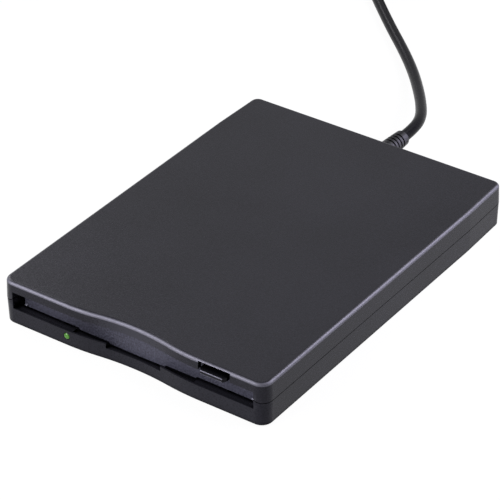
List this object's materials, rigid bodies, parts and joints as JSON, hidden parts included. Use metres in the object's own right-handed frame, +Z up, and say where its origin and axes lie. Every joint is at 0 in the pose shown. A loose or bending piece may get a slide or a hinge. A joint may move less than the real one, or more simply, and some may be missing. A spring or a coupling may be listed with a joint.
{
  "type": "external floppy disk drive",
  "caption": "Slim low-profile external floppy disk drive with a flapped front slot, eject bar, indicator lamp and a trailing cord.",
  "frame": {"origin": "middle of the housing's footprint, on the surface that the feet stand on", "axes": "+X to the right seen from the front, the disk slot faces -Y, +Z up"},
  "size_m": [0.1527, 0.3727, 0.0168],
  "materials": {
    "shell": "satin moulded ABS, fine spark texture",
    "foot": "matt moulded rubber",
    "screw": "black zinc",
    "lens": "clear green, glossy",
    "flap": "matt moulded plastic",
    "spring": "drawn spring steel",
    "chassis_steel": "zinc plated sheet",
    "carrier_steel": "plated sheet",
    "button": "satin moulded plastic",
    "motor_board": "solder mask over glass fibre",
    "bearing": "sintered bronze",
    "core": "laminated steel",
    "copper": "enamelled copper wire",
    "rotor": "plated pressed steel",
    "ground_steel": "ground steel",
    "carriage": "glass filled plastic",
    "head": "polished ceramic",
    "motor_can": "drawn steel can",
    "chip": "moulded epoxy",
    "ribbon": "laminated flat cable",
    "sleeve": "moulded flexible PVC",
    "cord": "extruded PVC sheath",
    "plug": "moulded PVC",
    "plug_shell": "nickel plated sheet",
    "plug_tongue": "moulded plastic"
  },
  "bodies": {
    "case": {"bottom_case": "shell", "top_case": "shell", "foot_front_left": "foot", "foot_front_right": "foot", "foot_rear_left": "foot", "foot_rear_right": "foot", "case_screws": "screw", "activity_led": "lens", "flap_spring": "spring", "drive_chassis": "chassis_steel", "drive_cover": "chassis_steel", "drive_screws": "screw", "motor_board": "motor_board", "spindle_bearing": "bearing", "stator_core": "core", "stator_coils": "copper", "guide_rod": "ground_steel", "rod_clips": "spring", "screw_bearing": "bearing", "stepper_motor": "motor_can", "main_board": "motor_board", "controller_chips": "chip", "usb_board": "motor_board", "usb_chip": "chip", "crystal": "motor_can", "cord_socket": "chip", "ribbon_cable": "ribbon", "disk_switches": "chip", "strain_relief": "sleeve", "usb_cord": "cord", "usb_cord_coil": "cord", "usb_cord_end": "cord", "usb_plug_body": "plug", "usb_plug_shell": "plug_shell", "usb_plug_tongue": "plug_tongue"},
    "flap": {"disk_flap": "flap"},
    "slider": {"eject_slider": "carrier_steel", "eject_button": "button"},
    "carrier": {"disk_carrier": "carrier_steel", "lever_post": "carrier_steel"},
    "lever": {"shutter_lever": "carrier_steel"},
    "spindle": {"spindle_rotor": "rotor", "spindle_shaft": "ground_steel", "drive_pin": "ground_steel"},
    "carriage": {"head_carriage": "carriage", "lower_head": "head"},
    "arm": {"head_arm": "carrier_steel", "upper_head": "head"},
    "screw": {"lead_screw": "ground_steel"}
  },
  "joints": [
    {"name": "flap_swing", "type": "hinge", "parent": "case", "child": "flap", "pos_m": [0, -0.0664, 0.0128], "axis": [1, 0, 0], "range_deg": [0, 90], "stiffness_Nm_per_rad": 0.0002, "springref_deg": -20.05},
    {"name": "eject_slide", "type": "slide", "parent": "case", "child": "slider", "axis": [0, -1, 0], "range_m": [0, 0.0055]},
    {"name": "carrier_lift", "type": "slide", "parent": "case", "child": "carrier", "axis": [0, 0, -1], "range_m": [0, 0.0016]},
    {"name": "lever_swing", "type": "hinge", "parent": "carrier", "child": "lever", "pos_m": [-0.032, 0.006, 0.013], "axis": [0, 0, 1], "range_deg": [0, 62], "stiffness_Nm_per_rad": 0.001, "springref_deg": -20.05},
    {"name": "spindle_spin", "type": "hinge", "parent": "case", "child": "spindle", "pos_m": [0, -0.0162, 0.0055], "axis": [0, 0, 1], "continuous": true},
    {"name": "head_travel", "type": "slide", "parent": "case", "child": "carriage", "axis": [0, -1, 0], "range_m": [0, 0.0148]},
    {"name": "arm_drop", "type": "hinge", "parent": "carriage", "child": "arm", "pos_m": [0, 0.0514, 0.013], "axis": [1, 0, 0], "range_deg": [0, 8.5]},
    {"name": "screw_spin", "type": "hinge", "parent": "case", "child": "screw", "pos_m": [0.018, 0.0315, 0.0096], "axis": [0, 1, 0], "range_deg": [0, 1776]}
  ],
  "couplings": [
    {"joint": "carrier_lift", "follows": "eject_slide", "ratio": 0.2909},
    {"joint": "arm_drop", "follows": "eject_slide", "rad_per_m": 26.971},
    {"joint": "screw_spin", "follows": "head_travel", "rad_per_m": 2094.4}
  ]
}
